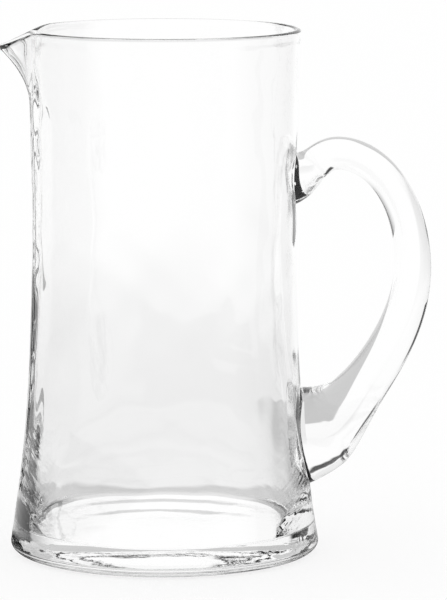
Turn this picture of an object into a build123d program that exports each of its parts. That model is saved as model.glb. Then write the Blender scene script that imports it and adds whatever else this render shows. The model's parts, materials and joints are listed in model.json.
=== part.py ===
from build123d import *
from math import cos, exp, pi, radians, sin
import os

# A large hand-blown clear glass water jug, in millimetres.
# The origin is on the jug's axis at the surface that it stands on, with +Z up.
# The pouring lip points along -X and the handle stands on the +X side.

# Body, all radii on its outside
jug_height = 240.0
waist_radius = 60.2
waist_height = 150.0
rim_flare = 1.9  # how far the wall opens from the waist to the rim
foot_flare = 11.2  # how far the wall opens from the waist to the bench
foot_curve = 2.25  # power of that flare: the higher, the later it opens
wall = 3.0
wall_growth = 13.0  # how much thicker the wall is at the bench than at the waist
growth_curve = 5.3  # power of that thickening: the higher, the closer it stays to the foot
floor_thickness = 11.5
floor_corner = 4.0  # radius where the wall meets the floor inside
heel_round = 6.5
rest_ring = 12.0  # width of the flat ring that the jug stands on
push_up = 2.0  # height of the hollow under the base
bead_radius = 1.75  # of the fire-polished bead that rounds the rim
lip_bead_radius = 1.6  # the bead is thinner where the lip is drawn out
bead_overlap = 6.0  # how far the lip's bead runs on inside the round rim's, in degrees

# Pouring lip
lip_reach = 13.6  # how far the tip stands out from the round rim
lip_drop = 8.1  # how far the tip hangs below the rim
lip_depth = 34.0  # how far down the wall the lip is drawn from
lip_curve = 1.9  # power of the throat's outward lean
lip_half_angle = 28.0  # half of the lip's opening at the rim, seen from above
root_half_angle = 17.0  # half of the throat's opening where it starts
lip_pinch = 7.0  # the higher, the narrower the beak between its flanks
lip_bend = 20.0  # radius of the bend that takes the rim down to the tip
lip_fall = 24.0  # slope of the rim towards the tip, in degrees
lip_shoulder = 9.0  # how far inside the round rim's edge the bend starts

# Handle: one gather, pressed on low, drawn up and over, and pressed on again at the top
upper_joint = 173.0  # height of the middle of the upper pad
lower_joint = 52.5  # height of the middle of the lower pad
crest_rise = 10.3  # of the handle's middle line above the upper joint
crest_reach = 18.6  # of the crest's middle from the wall
grip_reach = 53.2  # of the grip's middle from the wall
grip_height = 132.0
crest_thickness = 15.0  # where the handle is drawn thinnest
crest_width = 17.5
elbow_reach = 23.2  # of the lower run's middle from the wall
elbow_rise = 19.8  # of the lower run's middle above the lower joint
lower_taper = 9.5  # how much thicker the handle gets from the crest to the lower joint
taper_start = 0.25  # share of the handle's length, from the upper joint, before it thickens
taper_curve = 1.4  # power of that thickening
upper_climb = 26.5  # how steeply the handle leaves the upper joint, in degrees above level
lower_fall = 19.5  # how steeply it comes down into the lower joint, in degrees below level
upper_pad_height = 28.0
upper_pad_width = 27.0
upper_pad_spread = 8.5  # how far the upper pad's swelling runs along the handle
lower_pad_height = 45.0
lower_pad_width = 34.0
lower_pad_spread = 20.0
pad_sink = 6.0  # how deep the handle's middle line starts behind the wall's outside
handle_stations = (0, 0.04, 0.08, 0.13, 0.2, 0.28, 0.38, 0.48, 0.58, 0.68, 0.76, 0.83, 0.89, 0.945, 1)


def wall_radius(height):
    """Outer radius of the plain body: a waist that opens slowly to the rim and fast to the foot."""
    if height < waist_height:
        return waist_radius + foot_flare * ((waist_height - height) / waist_height) ** foot_curve
    return waist_radius + rim_flare * ((height - waist_height) / (jug_height - waist_height)) ** 2


def wall_thickness(height):
    """The wall is heavy at the foot, where the cavity stays narrow, and thins out to the waist."""
    share = max(0.0, (waist_height - height) / waist_height)
    return wall + wall_growth * share**growth_curve


def lip_pull(height):
    """How far the wall is drawn out in the middle of the lip, a power of the height above its root."""
    tip_share = (lip_depth - lip_drop) / lip_depth
    share = max(0.0, (height - root_height) / lip_depth)
    return lip_reach * (share / tip_share) ** lip_curve


def lip_level(height, inset):
    """One level of the collar: a round arc, closed by the lip's beak where the wall is drawn out."""
    radius = wall_radius(height) - inset
    share = (height - root_height) / lip_depth
    half_angle = radians(root_half_angle + (lip_half_angle - root_half_angle) * share)
    beak = []
    for step in [count / 5 - 1 for count in range(11)]:
        angle = pi + half_angle * step
        reach = radius + lip_pull(height) * cos(pi / 2 * step) ** lip_pinch
        beak.append((reach * cos(angle), reach * sin(angle)))
    with BuildSketch(Plane.XY.offset(height)) as level:
        with BuildLine():
            ThreePointArc(beak[-1], (radius, 0), beak[0])
            if lip_pull(height) > 0:
                flank_ends = [pi - half_angle, pi + half_angle]
                Spline(beak, tangents=[(-sin(angle), cos(angle)) for angle in flank_ends])
            else:
                ThreePointArc(beak[0], beak[5], beak[-1])
        make_face()
    return level.sketch


def turned_form(bottom, inset, corner):
    """The round part of the body up to the lip's root, turned from its outline, its lower corner rounded."""
    heights = [bottom + (root_height - bottom) * (step / 8) ** 1.5 for step in range(9)]  # closer at the foot
    with BuildPart() as form:
        with BuildSketch(Plane.XZ):
            with BuildLine():
                side = Spline([(wall_radius(height) - inset(height), height) for height in heights])
                Polyline(side @ 1, (0, root_height), (0, bottom), side @ 0)
            make_face()
        revolve(axis=Axis.Z)
        fillet(form.edges().group_by(Axis.Z)[0], corner)
    return form.part


root_height = jug_height - lip_depth
collar_height = jug_height + wall  # trimmed to the rim afterwards
lip_heights = [root_height + (collar_height - root_height) * step / 6 for step in range(7)]

with BuildPart() as jug_blank:
    add(turned_form(0, lambda height: 0, heel_round))
    loft([lip_level(height, 0) for height in lip_heights])

with BuildPart() as cavity:
    add(turned_form(floor_thickness, wall_thickness, floor_corner))
    loft([lip_level(height, wall_thickness(height)) for height in lip_heights])

with BuildSketch(Plane.XZ) as above_rim:  # the rim is level all round and bends down along the lip
    with BuildLine():
        beyond = 2 * wall_radius(jug_height)
        bead_height = jug_height - bead_radius
        level = Line((beyond, bead_height), (lip_shoulder - wall_radius(jug_height), bead_height))
        bend = JernArc(level @ 1, (-1, 0), lip_bend, lip_fall)
        fall = Line(bend @ 1, bend @ 1 + (bend % 1) * beyond)
        Polyline(fall @ 1, ((fall @ 1).X, 2 * jug_height), (beyond, 2 * jug_height), level @ 0)
    make_face()

with BuildPart() as lip_form:  # the lip's side of a solid that reaches to the middle of the wall
    loft([lip_level(height, wall / 2) for height in lip_heights])
    extrude(above_rim.sketch, amount=beyond, both=True, mode=Mode.SUBTRACT)
    lip_bead_end = waist_radius * cos(radians(lip_half_angle + bead_overlap))
    split(bisect_by=Plane.YZ.offset(-lip_bead_end), keep=Keep.BOTTOM)
    lip_line = Wire(lip_form.faces().sort_by(Axis.Z)[-3:].edges().filter_by(GeomType.BSPLINE))

with BuildPart() as jug_body:
    add(jug_blank)
    add(cavity, mode=Mode.SUBTRACT)
    extrude(above_rim.sketch, amount=beyond, both=True, mode=Mode.SUBTRACT)
    # the fire-polished bead follows the lip's edge, and closes round the jug from flank to flank
    with BuildSketch(Plane(lip_line @ 0, z_dir=lip_line % 0)):
        Circle(lip_bead_radius)
    sweep(path=lip_line)
    flank = radians(180 + lip_half_angle)
    with BuildSketch(Plane((0, 0, 0), (cos(flank), sin(flank), 0), (sin(flank), -cos(flank), 0))):
        with Locations((wall_radius(bead_height) - wall / 2, bead_height)):
            Circle(bead_radius)
    revolve(axis=Axis.Z, revolution_arc=360 - 2 * lip_half_angle)
    # the underside is pushed up inside the flat ring that the jug stands on
    with BuildSketch(Plane.XZ):
        with BuildLine():
            ring_inside = wall_radius(0) - heel_round - rest_ring
            dome = SagittaArc((-ring_inside, 0), (ring_inside, 0), push_up)
            Line(dome @ 0, dome @ 1)
        make_face()
        split(bisect_by=Plane.YZ, keep=Keep.TOP)
    revolve(axis=Axis.Z, mode=Mode.SUBTRACT)


def swelling(distance, spread):
    """A bell-shaped share, 1 at a pad and fading out along the handle."""
    return exp(-((distance / spread) ** 2))


with BuildPart() as handle:
    with BuildLine(Plane.XZ) as middle_line:
        upper_wall = wall_radius(upper_joint)
        lower_wall = wall_radius(lower_joint)
        crest = (upper_wall + crest_reach, upper_joint + crest_rise)
        grip = (waist_radius + grip_reach, grip_height)
        elbow = (lower_wall + elbow_reach, lower_joint + elbow_rise)
        leaving = (cos(radians(upper_climb)), sin(radians(upper_climb)))
        arriving = (-cos(radians(lower_fall)), -sin(radians(lower_fall)))
        Spline((upper_wall - pad_sink, upper_joint), crest, tangents=[leaving, (1, 0)])
        EllipticalCenterArc((crest[0], grip[1]), grip[0] - crest[0], crest[1] - grip[1], arc_size=90)
        Spline(grip, elbow, (lower_wall - pad_sink, lower_joint), tangents=[(0, -1), arriving])
    route = middle_line.wire()
    plain_length = taper_start * route.length
    for station in handle_stations:
        from_top = route.length * station
        from_foot = route.length - from_top
        upper = swelling(from_top, upper_pad_spread)
        lower = swelling(from_foot, lower_pad_spread)
        taper_share = max(0.0, (from_top - plain_length) / (route.length - plain_length))
        taper = lower_taper * taper_share**taper_curve
        thick = crest_thickness + taper + (upper_pad_height - crest_thickness) * upper
        thick += (lower_pad_height - crest_thickness - lower_taper) * lower
        wide = crest_width + taper + (upper_pad_width - crest_width) * upper
        wide += (lower_pad_width - crest_width - lower_taper) * lower
        with BuildSketch(Plane(route @ station, x_dir=(0, 1, 0), z_dir=route % station)):
            Ellipse(wide / 2, thick / 2)
    loft()
    add(jug_blank, mode=Mode.SUBTRACT)

jug_body.part.label = "jug_body"
handle.part.label = "handle"
os.makedirs("parts", exist_ok=True)
export_step(jug_body.part, "parts/jug_body.step")
export_step(handle.part, "parts/handle.step")
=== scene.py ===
import json

import bpy
import numpy as np
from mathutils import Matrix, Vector

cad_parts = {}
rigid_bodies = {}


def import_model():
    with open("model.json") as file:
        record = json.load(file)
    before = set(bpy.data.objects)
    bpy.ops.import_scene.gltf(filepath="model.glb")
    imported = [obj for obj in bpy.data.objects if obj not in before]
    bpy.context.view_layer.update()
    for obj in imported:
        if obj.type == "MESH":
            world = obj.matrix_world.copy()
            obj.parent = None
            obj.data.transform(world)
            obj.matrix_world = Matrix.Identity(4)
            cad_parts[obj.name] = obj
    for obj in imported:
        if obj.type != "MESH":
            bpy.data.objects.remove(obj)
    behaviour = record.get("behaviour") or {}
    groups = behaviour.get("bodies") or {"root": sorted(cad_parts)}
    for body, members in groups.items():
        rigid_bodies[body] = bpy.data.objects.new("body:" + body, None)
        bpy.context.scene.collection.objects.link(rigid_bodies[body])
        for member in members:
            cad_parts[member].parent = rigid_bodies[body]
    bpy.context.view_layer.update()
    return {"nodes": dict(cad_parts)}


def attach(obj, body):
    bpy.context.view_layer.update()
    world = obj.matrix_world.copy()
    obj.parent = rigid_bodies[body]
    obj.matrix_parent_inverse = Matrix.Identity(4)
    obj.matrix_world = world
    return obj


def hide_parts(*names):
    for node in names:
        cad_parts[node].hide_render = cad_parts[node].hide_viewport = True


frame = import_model()
print("frame loaded:", sorted(frame["nodes"]))

mm = 0.001  # the jug's sizes are written in millimetres, the stage's in metres


def smoothStep(low, high, values):  # 0 below low, 1 above high, an S between them
    share = np.clip((values - low) / (high - low), 0, 1)
    return share * share * (3 - 2 * share)


def bell(values, middle, width):  # 1 at the middle, falling off like exp(-x squared)
    return np.exp(-((values - middle) / width) ** 2)


def gridFaces(rows, columns):
    # quads of a grid whose columns wrap round: each point, the next one in its row, and both below
    row, column = np.meshgrid(np.arange(rows - 1), np.arange(columns), indexing="ij")
    here, right = row * columns + column, row * columns + (column + 1) % columns
    return np.stack([here, right, right + columns, here + columns], -1).reshape(-1, 4)


def buildMesh(name, points, quads, fans):
    # points in millimetres; quads as rows of four; a fan (pole, ring) is closed by triangles, each from the
    # pole to a point of the ring and the next one
    triangles = np.concatenate([np.stack([np.full(len(ring), pole), ring, np.roll(ring, -1)], -1)
                                for pole, ring in fans])
    mesh = bpy.data.meshes.new(name)
    loops = np.concatenate([quads.ravel(), triangles.ravel()])
    sizes = np.concatenate([np.full(len(quads), 4), np.full(len(triangles), 3)])
    mesh.vertices.add(len(points))
    mesh.vertices.foreach_set("co", (points * mm).astype(np.float32).ravel())
    mesh.loops.add(len(loops))
    mesh.loops.foreach_set("vertex_index", loops.astype(np.int32))
    mesh.polygons.add(len(sizes))
    mesh.polygons.foreach_set("loop_start", np.concatenate([[0], np.cumsum(sizes)[:-1]]).astype(np.int32))
    mesh.polygons.foreach_set("use_smooth", np.ones(len(sizes), bool))
    mesh.update(calc_edges=True)
    mesh.validate()
    piece = bpy.data.objects.new(name, mesh)
    bpy.context.scene.collection.objects.link(piece)
    return piece


bodyForm = {
    "jugHeight": 240.0, "waistRadius": 60.2, "waistHeight": 150.0,
    "rimFlare": 1.9, "footFlare": 11.2, "footCurve": 2.25,
    "wall": 3.0, "wallGrowth": 9.0, "growthCurve": 5.3, "floorThickness": 11.5, "floorCorner": 1.5,
    "heelWidth": 7.8, "heelHeight": 5.2, "restRing": 12.0, "pushUp": 2.0, "domeCurve": 1.6,
    "beadRadius": 1.75, "beadSpread": 1.6,  # the wall swells out to the bead over that height
    "lipReach": 13.6, "lipDrop": 8.1, "lipDepth": 34.0, "lipCurve": 1.9,
    "lipHalfAngle": 28.0, "rootHalfAngle": 17.0, "lipPinch": 7.0,
    "lipBend": 20.0, "lipFall": 24.0, "lipShoulder": 9.0, "dropCurve": 1.6,
    "columns": 384, "lipDensity": 0.45,
    "domeRows": 16, "ringRows": 9, "arcRows": 14, "outerRows": 84, "innerRows": 78, "floorRows": 26,
    "innermost": 0.02, "domeEnd": 0.985,  # first and last row of the dome, as shares of its radius
    # waves of the blown wall: size, seed, how many, whole turns round the jug, wavelengths up it
    "outerWaves": ((0.13, 3, 9, (1, 5), (60, 140)), (0.03, 5, 12, (4, 12), (25, 60)),
                   (0.012, 13, 16, (12, 36), (90, 260))),
    "innerWaves": ((0.15, 7, 10, (1, 6), (50, 120)), (0.05, 11, 14, (5, 16), (18, 50)),
                   (0.03, 17, 16, (12, 36), (90, 260))),
    # the heights over which they set in, outside and inside, and how much they calm down below the rim
    "outerCalm": (2, 24), "innerCalm": (24, 60), "rimCalm": 14, "rimCalmShare": 0.75,
    # faint corners round the floor, in degrees from the handle, their depth, and where they fade up the wall
    "floorCorners": (3, 22, 63, 108, 147, 202, 233, 258, 287, 321),
    "chordShare": 0.25, "cornerFade": (14, 26),
    # waves of the floor and the underside: size, seed, how many, wavelengths across and along the view,
    # the radius over which the floor's fade and within which the underside's lie
    "flatRipple": 0.015, "flatSeed": 29, "flatWaves": 16, "flatAcross": (20, 60), "flatAlong": (8, 20),
    "floorFade": (46, 54), "underFlat": 50,
}


def wallRadius(height):
    # outside of the plain wall: a waist that opens slowly to the rim and fast to the foot
    form = bodyForm
    low = np.clip((form["waistHeight"] - height) / form["waistHeight"], 0, None)
    high = np.clip((height - form["waistHeight"]) / (form["jugHeight"] - form["waistHeight"]), 0, None)
    return form["waistRadius"] + form["footFlare"] * low ** form["footCurve"] + form["rimFlare"] * high ** 2


def wallThickness(height):
    # even above the waist; below it a power of the depth is added
    form = bodyForm
    low = np.clip((form["waistHeight"] - height) / form["waistHeight"], 0, None)
    return form["wall"] + form["wallGrowth"] * low ** form["growthCurve"]


def wallWaves(angle, height, sets):
    # each set is a sum of cosines, whole turns round the jug by wavelengths up it, each with its own phase
    total = 0
    for size, seed, count, rounds, lengths in sets:
        source = np.random.default_rng(seed)
        waves = np.zeros(np.broadcast(angle, height).shape)
        for _ in range(count):
            turns = source.integers(rounds[0], rounds[1] + 1)
            length = source.uniform(*lengths)
            lean = source.choice([-1.0, 1.0])
            waves += np.cos(turns * angle + lean * 2 * np.pi * height / length + source.uniform(0, 2 * np.pi))
        total = total + size * (waves / np.sqrt(count))
    return total


def jugProfile():
    # radius and height along one side of the jug, from the middle of the underside to the middle of the
    # floor, with 0 for the outside and 1 for the inside of the wall as the third value
    form = bodyForm
    footRadius = wallRadius(form["heelHeight"])
    ringOutside = footRadius - form["heelWidth"]
    ringInside = ringOutside - form["restRing"]
    rows = []

    def addRows(radius, height, inside):  # rows of points, each the radius, the height and the side
        radius, height = np.broadcast_arrays(radius, height)
        rows.append(np.stack([radius, height, np.full(radius.shape, float(inside))], -1))

    # the pushed-up underside, a shallow dome
    out = np.linspace(form["innermost"], form["domeEnd"], form["domeRows"])
    addRows(ringInside * out, form["pushUp"] * (1 - out ** 2) ** form["domeCurve"], 0)
    addRows(np.linspace(ringInside, ringOutside, form["ringRows"]), 0.0, 0)
    turn = np.linspace(0, np.pi / 2, form["arcRows"])[1:-1]  # the heel, a quarter of an ellipse
    addRows(ringOutside + form["heelWidth"] * np.sin(turn), form["heelHeight"] * (1 - np.cos(turn)), 0)
    beadCentre = form["jugHeight"] - form["beadRadius"]
    rise = np.linspace(0, 1, form["outerRows"])
    outer = form["heelHeight"] + (beadCentre - form["heelHeight"]) * rise
    swell = (form["beadRadius"] - form["wall"] / 2) * bell(outer, beadCentre, form["beadSpread"])
    addRows(wallRadius(outer) + swell, outer, 0)
    turn = np.linspace(0, np.pi, form["arcRows"])[1:-1]  # the bead, half a circle over the top of the wall
    middle = wallRadius(form["jugHeight"]) - form["wall"] / 2
    rows.append(np.stack([middle + form["beadRadius"] * np.cos(turn),
                          beadCentre + form["beadRadius"] * np.sin(turn), turn / np.pi], -1))
    corner, floor = form["floorCorner"], form["floorThickness"]
    ends = floor + corner * np.array([0, 1])
    tilt = np.arctan(np.diff(wallRadius(ends) - wallThickness(ends))[0] / corner)
    cornerTop = floor + corner * (1 - np.sin(tilt))
    inner = beadCentre + (cornerTop - beadCentre) * np.linspace(0, 1, form["innerRows"])
    swell = (form["beadRadius"] - form["wall"] / 2) * bell(inner, beadCentre, form["beadSpread"])
    addRows(wallRadius(inner) - wallThickness(inner) - swell, inner, 1)
    turn = np.linspace(tilt, np.pi / 2, form["arcRows"])[1:]  # the corner, an arc that starts along the wall
    centre = wallRadius(cornerTop) - wallThickness(cornerTop) - corner * np.cos(tilt)
    addRows(centre + corner * np.cos(turn), floor + corner * (1 - np.sin(turn)), 1)
    addRows(centre * np.linspace(1, form["innermost"], form["floorRows"])[1:], floor, 1)
    return np.concatenate(rows)


def lipPull(height):
    # how far the middle of the lip stands out at a height
    form = bodyForm
    root = form["jugHeight"] - form["lipDepth"]
    tipShare = (form["lipDepth"] - form["lipDrop"]) / form["lipDepth"]
    share = np.clip((height - root) / form["lipDepth"], 0, None)
    return form["lipReach"] * (share / tipShare) ** form["lipCurve"]


def lipShape(angle, height):
    # share of that pull at an angle from the lip's middle: a power of a cosine, wider towards the rim
    form = bodyForm
    root = form["jugHeight"] - form["lipDepth"]
    share = np.clip((height - root) / form["lipDepth"], 0, 1)
    half = np.radians(form["rootHalfAngle"] + (form["lipHalfAngle"] - form["rootHalfAngle"]) * share)
    return np.cos(np.clip(angle / half, -1, 1) * np.pi / 2) ** form["lipPinch"]


def rimDrop(reach):
    # the rim is level, bends down over an arc and then falls at a steady slope towards the tip
    form = bodyForm
    beyond = np.clip(reach - (wallRadius(form["jugHeight"]) - form["lipShoulder"]), 0, None)
    fall = np.radians(form["lipFall"])
    arcEnd = form["lipBend"] * np.sin(fall)
    onArc = form["lipBend"] - np.sqrt(form["lipBend"] ** 2 - np.minimum(beyond, arcEnd) ** 2)
    return onArc + np.clip(beyond - arcEnd, 0, None) * np.tan(fall)


def chordDip(angle):
    # how far a straight chord between two corners lies inside the round, as a share of the radius
    corners = np.radians(np.array(bodyForm["floorCorners"], float))
    corners = np.concatenate([[corners[-1] - 2 * np.pi], corners, [corners[0] + 2 * np.pi]])
    turned = np.mod(angle, 2 * np.pi)
    after = np.clip(np.searchsorted(corners, turned, side="right"), 1, len(corners) - 1)
    half = (corners[after] - corners[after - 1]) / 2
    middle = (corners[after] + corners[after - 1]) / 2
    return 1 - np.cos(half) / np.cos(turned - middle)


def flatWaves(x, y):
    # a sum of cosines over a flat, with longer waves across the view than along it
    form = bodyForm
    source = np.random.default_rng(form["flatSeed"])
    total = np.zeros(x.shape)
    for _ in range(form["flatWaves"]):
        across, along = source.uniform(*form["flatAcross"]), source.uniform(*form["flatAlong"])
        lean = source.choice([-1.0, 1.0])
        total += np.cos(2 * np.pi * (lean * x / across + y / along) + source.uniform(0, 2 * np.pi))
    return total / np.sqrt(form["flatWaves"])


def bodyPoints(angle, radius, height, inside):
    # the plain jug's point at (angle, radius, height), moved by the lip and by the waves of the blown wall
    form = bodyForm
    fromLip = np.abs(np.mod(angle, 2 * np.pi) - np.pi)
    drop = np.zeros_like(fromLip)
    for _ in range(4):  # the drop follows from where the lip's edge is, and that from the drop
        edge = form["jugHeight"] - drop
        reach = (wallRadius(edge) + lipPull(edge) * lipShape(fromLip, edge)) * np.cos(fromLip)
        drop = rimDrop(reach)
    root = form["jugHeight"] - form["lipDepth"]
    share = np.clip((height - root) / form["lipDepth"], 0, 1)
    newHeight = height - drop * share ** form["dropCurve"]
    newRadius = radius + lipPull(newHeight) * lipShape(fromLip, newHeight)
    newRadius += np.where(height > root, wallRadius(newHeight) - wallRadius(height), 0)
    atRim = smoothStep(form["jugHeight"] - form["rimCalm"], form["jugHeight"], height)
    atRim = 1 - form["rimCalmShare"] * atRim
    outerWaves = wallWaves(angle, height, form["outerWaves"]) * (1 - inside)
    innerWaves = wallWaves(angle, height, form["innerWaves"]) * inside
    newRadius += smoothStep(*form["outerCalm"], height) * atRim * outerWaves
    newRadius += smoothStep(*form["innerCalm"], height) * atRim * innerWaves
    low = (1 - smoothStep(*form["cornerFade"], height)) * inside
    newRadius *= 1 - form["chordShare"] * low * chordDip(angle)
    x, y = newRadius * np.cos(angle), newRadius * np.sin(angle)
    under = (1 - inside) * (height < form["pushUp"]) * (radius < form["underFlat"])
    flat = low * (1 - smoothStep(*form["floorFade"], newRadius)) + under
    newHeight = newHeight + flat * form["flatRipple"] * flatWaves(x, y)
    return np.stack([x, y, newHeight], -1)


def makeBody():
    # the profile carried once round the axis, closed in the middle of the underside and of the floor
    form = bodyForm
    turn = 2 * np.pi * np.arange(form["columns"]) / form["columns"]
    angle = turn + form["lipDensity"] * np.sin(turn)  # columns stand closer at the lip
    profile = jugProfile()
    rows, columns = len(profile), form["columns"]
    points = bodyPoints(angle[None, :], profile[:, :1], profile[:, 1:2], profile[:, 2:3]).reshape(-1, 3)
    poles = np.array([[0, 0, form["pushUp"]], [0, 0, form["floorThickness"]]])
    under, floor = len(points), len(points) + 1
    fans = [(under, np.arange(columns)[::-1]), (floor, np.arange((rows - 1) * columns, rows * columns))]
    piece = buildMesh("jug_body_glass", np.concatenate([points, poles]), gridFaces(rows, columns), fans)
    print("body:", len(piece.data.vertices), "points")
    return piece


handleForm = {
    "upperJoint": 173.0, "lowerJoint": 52.5, "crestRise": 10.3, "crestReach": 18.6,
    "gripReach": 53.2, "gripHeight": 132.0, "crestThickness": 15.0, "crestWidth": 17.5,
    "elbowReach": 23.2, "elbowRise": 19.8, "lowerTaper": 9.5, "taperStart": 0.25, "taperCurve": 1.4,
    "upperPadHeight": 24.5, "upperPadWidth": 25.0, "upperPadSpread": 6.0,
    "lowerPadHeight": 45.0, "lowerPadWidth": 34.0, "lowerPadSpread": 20.0,
    "upperClimb": 26.5, "lowerFall": 19.5, "elbowLean": (-0.12, 0.05),
    # the pads' middles, how far their edges lie behind the wall's outside, how much taller they are there,
    # and over what length each end takes on the wall's shape
    "upperSeat": 172.8, "lowerSeat": 54.6, "sink": 0.25, "seatStretch": 1.04,
    "upperBlend": 7.0, "lowerBlend": 9.0,
    # points on the middle line's runs and on the whole of it; rings along the handle, closer at both ends
    "runPoints": (30, 80, 60, 40), "routePoints": 400,
    "rings": 220, "crowding": 0.03, "around": 96, "capRings": 8,
}


def handleRoute():
    # the handle's middle line in the XZ plane: a cubic run to the crest, a quarter of an ellipse to the grip
    # and two more cubic runs by the elbow to the lower joint
    form = handleForm
    first, second, third, fourth = form["runPoints"]
    upperWall, lowerWall = wallRadius(form["upperJoint"]), wallRadius(form["lowerJoint"])
    start = np.array([upperWall, form["upperSeat"]])
    crest = np.array([upperWall + form["crestReach"], form["upperJoint"] + form["crestRise"]])
    grip = np.array([bodyForm["waistRadius"] + form["gripReach"], form["gripHeight"]])
    elbow = np.array([lowerWall + form["elbowReach"], form["lowerJoint"] + form["elbowRise"]])
    end = np.array([lowerWall, form["lowerSeat"]])
    climb, fall = np.radians(form["upperClimb"]), np.radians(form["lowerFall"])

    def cubic(a, b, leave, arrive, steps):  # from a to b, leaving and arriving in the given directions
        share = np.linspace(0, 1, steps)[:, None]
        size = np.linalg.norm(b - a)
        return ((2 * share ** 3 - 3 * share ** 2 + 1) * a
                + (share ** 3 - 2 * share ** 2 + share) * leave * size
                + (3 * share ** 2 - 2 * share ** 3) * b + (share ** 3 - share ** 2) * arrive * size)

    turn = np.linspace(0, np.pi / 2, second)[:, None]
    quarter = np.array([crest[0], grip[1]]) + np.concatenate(
        [(grip[0] - crest[0]) * np.sin(turn), (crest[1] - grip[1]) * np.cos(turn)], 1)
    through = (end - grip) / np.linalg.norm(end - grip)
    through = through + np.array(form["elbowLean"])
    through = through / np.linalg.norm(through)
    climbing, falling = np.array([np.cos(climb), np.sin(climb)]), np.array([-np.cos(fall), -np.sin(fall)])
    pieces = [cubic(start, crest, climbing, np.array([1.0, 0.0]), first), quarter[1:],
              cubic(grip, elbow, np.array([0.0, -1.0]), through, third)[1:],
              cubic(elbow, end, through, falling, fourth)[1:]]
    line = np.concatenate(pieces)
    along = np.concatenate([[0], np.cumsum(np.linalg.norm(np.diff(line, axis=0), axis=1))])
    even = np.linspace(0, along[-1], form["routePoints"])
    line = np.stack([np.interp(even, along, line[:, i]) for i in (0, 1)], -1)
    return even, line


def wallPoint(y, z):
    # the point of the body's outside at that side and height, sunk a little into the wall
    radius = wallRadius(z) - handleForm["sink"]
    return np.stack([np.sqrt(radius ** 2 - y ** 2), y, z], -1)


def makeHandle():
    # an ellipse carried along the middle line; its size is the crest's, plus a taper to the lower joint,
    # plus a bell at each end that falls off like exp(-x squared)
    form = handleForm
    even, line = handleRoute()
    length = even[-1]
    share = np.linspace(0, 1, form["rings"])
    along = length * (share - form["crowding"] * np.sin(2 * np.pi * share))
    centre = np.stack([np.interp(along, even, line[:, i]) for i in (0, 1)], -1)
    slope = np.gradient(line, even, axis=0)
    tangent = np.stack([np.interp(along, even, slope[:, i]) for i in (0, 1)], -1)
    tangent /= np.linalg.norm(tangent, axis=1, keepdims=True)
    outward = np.stack([-tangent[:, 1], tangent[:, 0]], -1)
    fromTop, fromFoot = along, length - along
    upper, lower = bell(fromTop, 0, form["upperPadSpread"]), bell(fromFoot, 0, form["lowerPadSpread"])
    plain = form["taperStart"] * length
    taper = np.clip((fromTop - plain) / (length - plain), 0, None)
    taper = form["lowerTaper"] * taper ** form["taperCurve"]
    thick = (form["crestThickness"] + taper + (form["upperPadHeight"] - form["crestThickness"]) * upper
             + (form["lowerPadHeight"] - form["crestThickness"] - form["lowerTaper"]) * lower)
    wide = (form["crestWidth"] + taper + (form["upperPadWidth"] - form["crestWidth"]) * upper
            + (form["lowerPadWidth"] - form["crestWidth"] - form["lowerTaper"]) * lower)
    turn = 2 * np.pi * np.arange(form["around"]) / form["around"]
    side, up = np.cos(turn)[None, :], np.sin(turn)[None, :]
    x = centre[:, :1] + outward[:, :1] * thick[:, None] / 2 * up
    y = wide[:, None] / 2 * side
    z = centre[:, 1:] + outward[:, 1:] * thick[:, None] / 2 * up
    tube = np.stack([x, y, z], -1)
    capShare = np.linspace(1, 0, form["capRings"] + 1)[1:-1]
    caps, poles = [], []
    ends = ((form["upperSeat"], 1, 0, fromTop, form["upperBlend"]),
            (form["lowerSeat"], -1, -1, fromFoot, form["lowerBlend"]))
    for seat, direction, end, distance, blend in ends:
        def padRing(share):  # the pad's outline on the wall, shrunk to a share
            stretched = direction * share * thick[end] / 2 * form["seatStretch"] * up[0]
            return wallPoint(share * wide[end] / 2 * side[0], seat + stretched)

        weight = (1 - smoothStep(0, blend, distance))[:, None, None]
        tube = tube * (1 - weight) + padRing(1)[None] * weight
        caps.append(np.array([padRing(share) for share in capShare]))
        poles.append(wallPoint(np.array(0.0), np.array(seat)))
    rings = np.concatenate([caps[0][::-1], tube, caps[1]])
    rows, columns = rings.shape[:2]
    points = np.concatenate([rings.reshape(-1, 3), poles])
    first, last = rows * columns, rows * columns + 1
    fans = [(first, np.arange(columns)[::-1]), (last, np.arange((rows - 1) * columns, rows * columns))]
    quads = gridFaces(rows, columns)
    piece = buildMesh("handle_glass", points, quads, fans)
    row = np.arange(len(quads)) // columns
    capRows = form["capRings"] - 1
    fused = np.concatenate([(row < capRows) | (row >= rows - 1 - capRows), np.ones(2 * columns, bool)])
    # the ends are fused to the wall, so they have the second material
    piece.data.polygons.foreach_set("material_index", fused.astype(np.int32))
    pair = np.empty(2 * len(piece.data.edges), np.int32)
    piece.data.edges.foreach_get("vertices", pair)
    ring = pair.reshape(-1, 2) // columns  # the tube meets its ends in a sharp edge
    sharp = (ring[:, 0] == ring[:, 1]) & np.isin(ring[:, 0], (capRows, rows - 1 - capRows))
    piece.data.edges.foreach_set("use_edge_sharp", sharp)
    print("handle:", len(piece.data.vertices), "points")
    return piece


# each pad's outline on the wall: height of its middle, its height and its width
handlePads = [(handleForm[end + "Seat"], handleForm[end + "PadHeight"] * handleForm["seatStretch"],
               handleForm[end + "PadWidth"]) for end in ("upper", "lower")]


class Link:
    # wraps a node's output, so that shader maths reads as a plain expression
    def __init__(self, board, output):
        self.board, self.output = board, output

    def __add__(self, other):
        return self.board.maths("ADD", self, other)

    def __sub__(self, other):
        return self.board.maths("SUBTRACT", self, other)

    def __rsub__(self, other):
        return self.board.maths("SUBTRACT", other, self)

    def __mul__(self, other):
        return self.board.maths("MULTIPLY", self, other)

    def __truediv__(self, other):
        return self.board.maths("DIVIDE", self, other)

    def __pow__(self, other):
        return self.board.maths("POWER", self, other)

    __radd__ = __add__
    __rmul__ = __mul__


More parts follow.
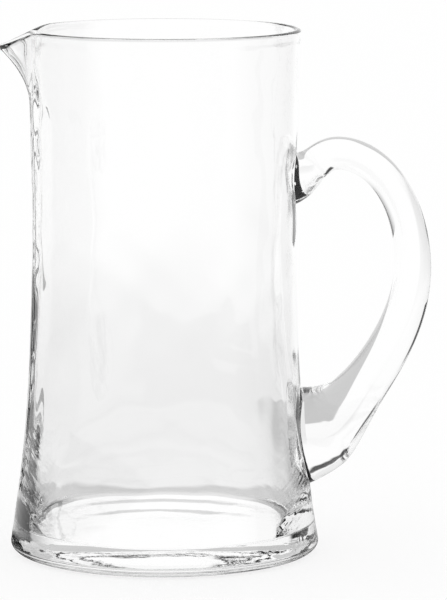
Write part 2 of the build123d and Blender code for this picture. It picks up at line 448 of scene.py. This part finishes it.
class Board:
    # the nodes of one material or world
    def __init__(self, owner):
        owner.use_nodes = True
        self.tree = owner.node_tree
        self.tree.nodes.clear()

    def add(self, kind, settings=None, sockets=None):
        # a node of this kind: its settings first, then values or links for its inputs
        node = self.tree.nodes.new("ShaderNode" + kind)
        for key, value in (settings or {}).items():
            setattr(node, key, value)
        for key, value in (sockets or {}).items():
            if isinstance(value, Link):
                self.tree.links.new(value.output, node.inputs[key])
            else:
                node.inputs[key].default_value = value
        return node

    def link(self, node, name):
        return Link(self, node.outputs[name])

    def maths(self, operation, first, second=0.0):
        return self.link(self.add("Math", {"operation": operation}, {0: first, 1: second}), "Value")

    def mixShader(self, share, first, second):
        return self.link(self.add("MixShader", None, {0: share, 1: first, 2: second}), "Shader")

    def ramp(self, value, low, high, atLow, atHigh):
        # atLow below low, atHigh above high, an S-shaped rise between them
        sockets = {"Value": value, "From Min": low, "From Max": high, "To Min": atLow, "To Max": atHigh}
        node = self.add("MapRange", {"interpolation_type": "SMOOTHSTEP"}, sockets)
        return self.link(node, "Result")


glassForm = {
    "ior": 1.5, "fusedIor": 1.0,  # inside a fused joint glass meets glass, so light goes straight on
    # bump, in cycles a metre and heights in millimetres: tall streaks and rounder pebbles, and their shares
    "streaks": (90.0, 90.0, 14.0), "pebbles": 160.0,
    "streakShare": 0.7, "pebbleShare": 0.3, "rippleHeight": 0.02,
    # slanting pulls on the foot's sides: how many across, along and up, how far they slant, their height,
    # and where they fade
    "pulls": (30.0, 60.0, 450.0), "pullSlant": 0.5, "pullHeight": 0.06,
    "pullTop": (0.045, 0.07), "pullSide": (0.045, 0.055),
    # marks on the floor and the underside: how many round, out and up, their height, and where they fade
    "marks": (8.0, 650.0, 200.0), "markHeight": 0.011,
    "markEdge": (0.056, 0.064), "markTop": (0.0118, 0.0125),
}


def fusedShare(board, x, y, z, away):
    # 1 on the wall's outside where a pad of the handle is fused to it: inside the pad's ellipse
    form = bodyForm
    low = board.maths("MAXIMUM", 1 - z * (1 / (form["waistHeight"] * mm)), 0.0)
    outside = low ** form["footCurve"] * (form["footFlare"] * mm) + form["waistRadius"] * mm
    onOutside = board.maths("GREATER_THAN", away - outside, -form["wall"] / 2 * mm)
    share = 0.0
    for seat, height, width in handlePads:
        ellipse = (y * (2 / (width * mm))) ** 2.0 + ((z - seat * mm) * (2 / (height * mm))) ** 2.0
        share = board.maths("LESS_THAN", ellipse, 1.0) + share
    return share * onOutside * board.maths("GREATER_THAN", x, 0.0)


def glassShader(board, ior, sockets=None):  # smooth clear glass
    values = {"Base Color": (1, 1, 1, 1), "Roughness": 0.0, "IOR": ior, "Transmission Weight": 1.0}
    return board.link(board.add("BsdfPrincipled", None, {**values, **(sockets or {})}), "BSDF")


def noise(board, place, scale=1.0, detail=2.0):
    # smooth noise from 0 to 1, scale cells to a unit, with finer layers by the detail
    node = board.add("TexNoise", None, {"Vector": place, "Scale": scale, "Detail": detail})
    return board.link(node, "Fac")


def makeFused():
    # the handle's ends, which let light straight on into the wall
    material = bpy.data.materials.new("fusedGlass")
    board = Board(material)
    board.add("OutputMaterial", None, {"Surface": glassShader(board, glassForm["fusedIor"])})
    return material


def makeGlass(name, fused=False):
    # clear glass; its bump is tall streaks and pebbles, with marks on the floor and pulls on the foot's sides
    form = glassForm
    material = bpy.data.materials.new(name)
    board = Board(material)
    place = board.link(board.add("TexCoord"), "Object")
    drawn = board.link(board.add("Mapping", None, {"Vector": place, "Scale": form["streaks"]}), "Vector")
    ripple = noise(board, drawn) * form["streakShare"]
    ripple = ripple + noise(board, place, form["pebbles"], 1.0) * form["pebbleShare"]
    axes = board.add("SeparateXYZ", None, {"Vector": place})
    x, y, z = (board.link(axes, axis) for axis in "XYZ")
    away = (x * x + y * y) ** 0.5
    turned = board.maths("ARCTAN2", y, x)
    aroundJug, outward, upward = form["marks"]
    polar = {"X": turned * aroundJug, "Y": away * outward, "Z": z * upward}
    marks = noise(board, board.link(board.add("CombineXYZ", None, polar), "Vector"))
    low = board.ramp(away, *form["markEdge"], 1.0, 0.0) * board.ramp(z, *form["markTop"], 1.0, 0.0)
    across, along, steps = form["pulls"]
    slanted = {"X": x * across, "Y": y * along, "Z": (z - y * form["pullSlant"]) * steps}
    pulls = noise(board, board.link(board.add("CombineXYZ", None, slanted), "Vector"), detail=0.0)
    beside = board.ramp(board.maths("ABSOLUTE", x), *form["pullSide"], 0.0, 1.0)
    beside = beside * board.ramp(z, *form["pullTop"], 1.0, 0.0)
    height = ripple * form["rippleHeight"] + marks * low * form["markHeight"]
    height = height + pulls * beside * form["pullHeight"]
    bump = board.add("Bump", None, {"Strength": 1.0, "Distance": mm, "Height": height})
    surface = glassShader(board, form["ior"], {"Normal": board.link(bump, "Normal")})
    if fused:
        straight = glassShader(board, form["fusedIor"])
        surface = board.mixShader(fusedShare(board, x, y, z, away), surface, straight)
    board.add("OutputMaterial", None, {"Surface": surface})
    return material


body, handle = makeBody(), makeHandle()
body.data.materials.append(makeGlass("clearGlass", fused=True))
handle.data.materials.append(makeGlass("handleGlass"))
handle.data.materials.append(makeFused())
for piece, node in ((body, "jug_body"), (handle, "handle")):
    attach(piece, "root")
    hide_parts(node)


stageForm = {
    "floorSize": 40.0, "floorDrop": 0.0002, "lens": 265.4,
    "cameraPlace": (0.02705, -2.0, 0.3956), "cameraAim": (0.02705, 0.0, 0.11586),
    "tableColour": (0.98, 0.98, 0.98, 1), "shadowShare": 0.2,
    # painted light and shade of the table as the glass sees it, by distance from the jug's axis: a painted
    # contact shadow ring round the foot and painted grey beyond it; and at least that bright behind the jug
    "glow": ((0.0585, 1.0), (0.0595, 0.25), (0.0625, 0.25), (0.0645, 0.05), (0.074, 0.05), (0.086, 0.6),
             (0.097, 0.6), (0.104, 0.86), (0.30, 0.86), (1.3, 1.0)),
    "behind": (0.03, 0.05), "behindGlow": 0.6,
    # painted grey and dark shade fields of the table outside the foot, seen only through the glass: for light
    # that crossed this many glass surfaces (True) or another number (False), from and to along X, then Y, how
    # far X leans with Y, the softness of the sides and of the back, how bright
    "paintedShadeFields": (((2, False), 0.075, 0.70, 0.03, 0.34, 0.0, 0.02, 0.006, 0.62),
               ((2, True), -0.145, -0.065, -0.03, 0.34, -0.44, 0.008, 0.02, 0.15),
               ((4, False), -0.30, 0.12, -0.34, -0.12, 0.0, 0.03, 0.03, 0.05),
               ((4, False), -0.13, 0.04, -0.13, -0.02, 0.0, 0.008, 0.01, 0.05),
               ((4, False), -0.55, -0.27, -0.30, -0.02, 0.0, 0.01, 0.01, 0.12),
               ((4, False), -0.24, -0.17, -0.25, 0.05, 0.0, 0.006, 0.01, 0.1),
               ((4, False), -0.165, -0.07, -0.02, 0.055, 0.0, 0.006, 0.012, 0.08)),
    "footEdge": (0.0625, 0.0645),
    # a painted grey strip of shade that only the handle sees, through a single piece of glass: from where
    # along X, where it starts and ends along Y, how much further it ends left of the step, how bright
    "stripLeft": (-0.08, -0.05), "stripFront": (-0.03, 0.0), "stripBack": (0.185, 0.197),
    "stripStep": (0.03, 0.07), "stripFurther": 0.05, "stripGlow": 0.58,
    # the painted dark side of the room and of the outer table, seen only in the glass: its way, where it
    # starts and is full, in degrees from that way, how bright, from where on the table, and how high up it
    # ends
    "paintedDarkSide": 15.0, "darkStart": 48.0, "darkFull": 12.0, "darkGlow": 0.3,
    "darkEdge": (0.25, 0.40), "overhead": (0.2, 0.7),
    # painted near-black sectors seen only in the glass: from and to in degrees, bottom, top, how soft these
    # two are
    "paintedDarkSectors": ((-15, 42, -1.0, 0.45, 0.06), (133, 152, -1.0, 0.2, 0.03), (122, 152, 0.27, 0.48, 0.03),
                (104, 126, 0.36, 0.54, 0.03)),
    "sectorEdge": 2.0, "sectorShade": 0.02,
    # painted dark posts that only the glass sees, for painted dark lines in it: where they stand, how wide at
    # the foot and at the top, how high, and which way they are wide, in degrees
    "posts": ((-0.176, 0.2, 0.050, 0.034, 0.45), (-0.138, 0.2, 0.022, 0.014, 0.45),
              (-0.112, 0.2, 0.014, 0.011, 0.45), (-0.150, 0.2, 0.080, 0.0, 0.11)),
    "postWay": 135.0, "postShade": 0.0,
    "bounces": 24, "glossyBounces": 12,
}


def paintedDarkSide(board, x, y):
    # the glow by direction: painted shade, dimmer towards one side of the room, seen only in the glass
    form = stageForm
    facing = x * np.cos(np.radians(form["paintedDarkSide"])) + y * np.sin(np.radians(form["paintedDarkSide"]))
    low, high = np.cos(np.radians([form["darkStart"], form["darkFull"]]))
    return board.ramp(facing, low, high, 1.0, form["darkGlow"])


def crossed(board, path, count):
    # 1 for rays that came through that many glass surfaces, 0 for others
    depth = board.link(path, "Transmission Depth")
    return board.maths("LESS_THAN", board.maths("ABSOLUTE", depth - count), 0.5)


def byGlass(board, path):
    # 1 for rays that a glass surface mirrored or let through
    return board.maths("MAXIMUM", board.link(path, "Is Glossy Ray"), board.link(path, "Is Transmission Ray"))


def tableGlow(board, x, y, path):
    # how bright the table looks through the glass: painted glow with painted shade, seen by no other ray
    form = stageForm
    away = (x * x + y * y) ** 0.5
    beyondFoot = board.ramp(away, *form["footEdge"], 0.0, 1.0)
    # painted shade by radius: a dark contact shadow ring round the foot and grey beyond it
    glow = form["glow"][0][1]
    for (low, atLow), (high, atHigh) in zip(form["glow"], form["glow"][1:]):
        if atLow != atHigh:
            glow = board.ramp(away, low, high, 0.0, atHigh - atLow) + glow
    glow = board.maths("MAXIMUM", glow, board.ramp(y, *form["behind"], 0.0, form["behindGlow"]))
    # painted shade fields, seen only through the glass
    for (count, alone), left, right, front, back, lean, sideEdge, backEdge, bright in form["paintedShadeFields"]:
        across = x - y * lean
        within = board.ramp(across, left - sideEdge, left + sideEdge, 0.0, 1.0 - bright)
        within = within * board.ramp(across, right - sideEdge, right + sideEdge, 1.0, 0.0)
        within = within * board.ramp(y, front - sideEdge, front + sideEdge, 0.0, 1.0)
        within = within * board.ramp(y, back - backEdge, back + backEdge, 1.0, 0.0)
        light = crossed(board, path, count)
        glow = glow * (1 - within * (light if alone else 1 - light) * beyondFoot)
    # painted dark side of the outer table, seen only through the glass
    outside = board.ramp(away, *form["darkEdge"], 0.0, 1.0)
    glow = glow * (1 - (1 - paintedDarkSide(board, x / away, y / away)) * outside)
    # the painted grey strip of shade, for rays through a single piece of glass
    onRight = crossed(board, path, 2) * board.ramp(x, *form["stripLeft"], 0.0, 1.0)
    nearer = y - board.ramp(x, *form["stripStep"], form["stripFurther"], 0.0)
    paintedShadeStrip = board.ramp(y, *form["stripFront"], 0.0, 1.0) * board.ramp(nearer, *form["stripBack"], 1.0, 0.0)
    return glow * (1 - onRight) + (1 - paintedShadeStrip * (1 - form["stripGlow"])) * onRight


def makeTable():
    # a matt table that the camera sees as white, with the jug's shadow on it; through the glass it shows
    # painted light and shade instead
    form = stageForm
    half, level = form["floorSize"] / 2, -form["floorDrop"]
    corners = [(-half, -half, level), (half, -half, level), (half, half, level), (-half, half, level)]
    mesh = bpy.data.meshes.new("table")
    mesh.from_pydata(corners, [], [(0, 1, 2, 3)])
    table = bpy.data.objects.new("table", mesh)
    bpy.context.scene.collection.objects.link(table)
    material = bpy.data.materials.new("whiteTableWithPaintedShade")
    board = Board(material)
    place = board.add("SeparateXYZ", None, {"Vector": board.link(board.add("TexCoord"), "Object")})
    path = board.add("LightPath")
    glow = tableGlow(board, board.link(place, "X"), board.link(place, "Y"), path)
    byCamera = board.link(path, "Is Camera Ray")
    matt = board.link(board.add("BsdfDiffuse", None, {"Color": form["tableColour"]}), "BSDF")
    white = board.link(board.add("Emission", None, {"Color": (1, 1, 1, 1)}), "Emission")
    # the painted light and shade that only glass rays see on the table
    paintedShadeSeen = board.link(board.add("Emission", None, {"Strength": glow}), "Emission")
    surface = board.mixShader(byCamera * (1 - form["shadowShare"]), matt, white)
    surface = board.mixShader(byGlass(board, path) * (1 - byCamera), surface, paintedShadeSeen)
    board.add("OutputMaterial", None, {"Surface": surface})
    mesh.materials.append(material)


def makePosts():
    # painted dark posts that only the glass sees, so that bent light draws painted dark lines down the wall
    form = stageForm
    way = np.radians(form["postWay"])
    points, faces = [], []
    for x, y, foot, top, height in form["posts"]:
        first = len(points)
        for reach, level in ((-foot, 0.0), (foot, 0.0), (top, height), (-top, height)):
            points.append((x + np.cos(way) * reach / 2, y + np.sin(way) * reach / 2, level))
        faces.append(tuple(range(first, first + 4)))
    mesh = bpy.data.meshes.new("paintedDarkPosts")
    mesh.from_pydata(points, [], faces)
    posts = bpy.data.objects.new("paintedDarkPosts", mesh)
    bpy.context.scene.collection.objects.link(posts)
    posts.visible_camera = posts.visible_diffuse = posts.visible_shadow = False
    material = bpy.data.materials.new("paintedDarkPost")
    board = Board(material)
    dark = board.link(board.add("Emission", None, {"Strength": form["postShade"]}), "Emission")
    board.add("OutputMaterial", None, {"Surface": dark})
    mesh.materials.append(material)


def makeWorld():
    # a white room; seen through the glass it shows a painted dim side and painted near-black sectors
    world = bpy.data.worlds.new("studio")
    bpy.context.scene.world = world
    board = Board(world)
    way = board.add("SeparateXYZ", None, {"Vector": board.link(board.add("TexCoord"), "Generated")})
    x, y, z = (board.link(way, axis) for axis in "XYZ")
    level = (x * x + y * y) ** 0.5
    paintedDim = paintedDarkSide(board, x / level, y / level)
    paintedDim = 1 - (1 - paintedDim) * board.ramp(z, *stageForm["overhead"], 1.0, 0.0)  # overhead the room is white
    turned = board.maths("ARCTAN2", y, x) * (180 / np.pi)
    edge = stageForm["sectorEdge"]
    # painted near-black sectors, seen only in the glass
    for first, last, bottom, top, soft in stageForm["paintedDarkSectors"]:
        within = board.ramp(turned, first - edge, first + edge, 0.0, 1.0)
        within = within * board.ramp(turned, last - edge, last + edge, 1.0, 0.0)
        within = within * board.ramp(z, bottom - soft, bottom + soft, 0.0, 1.0)
        within = within * board.ramp(z, top - soft, top + soft, 1.0, 0.0)
        paintedDim = paintedDim * (1 - within * (1 - stageForm["sectorShade"]))
    glow = 1 - (1 - paintedDim) * byGlass(board, board.add("LightPath"))
    white = board.link(board.add("Background", None, {"Color": (1, 1, 1, 1), "Strength": glow}), "Background")
    board.add("OutputWorld", None, {"Surface": white})


def makeCamera():
    # at its place and turned to its aim, as fitted to the photograph
    form = stageForm
    data = bpy.data.cameras.new("camera")
    data.lens = form["lens"]
    camera = bpy.data.objects.new("camera", data)
    bpy.context.scene.collection.objects.link(camera)
    camera.location = form["cameraPlace"]
    aim = Vector(form["cameraAim"]) - Vector(form["cameraPlace"])
    camera.rotation_mode = "QUATERNION"
    camera.rotation_quaternion = aim.to_track_quat("-Z", "Y")
    bpy.context.scene.camera = camera


makeWorld()
makeTable()
makePosts()
makeCamera()
print("table, posts, world and camera ready")
scene = bpy.context.scene
scene.view_settings.view_transform = "Standard"
scene.cycles.max_bounces = stageForm["bounces"]
scene.cycles.transmission_bounces = stageForm["bounces"]
scene.cycles.glossy_bounces = stageForm["glossyBounces"]
scene.cycles.transparent_max_bounces = stageForm["bounces"]

print("scene ready")
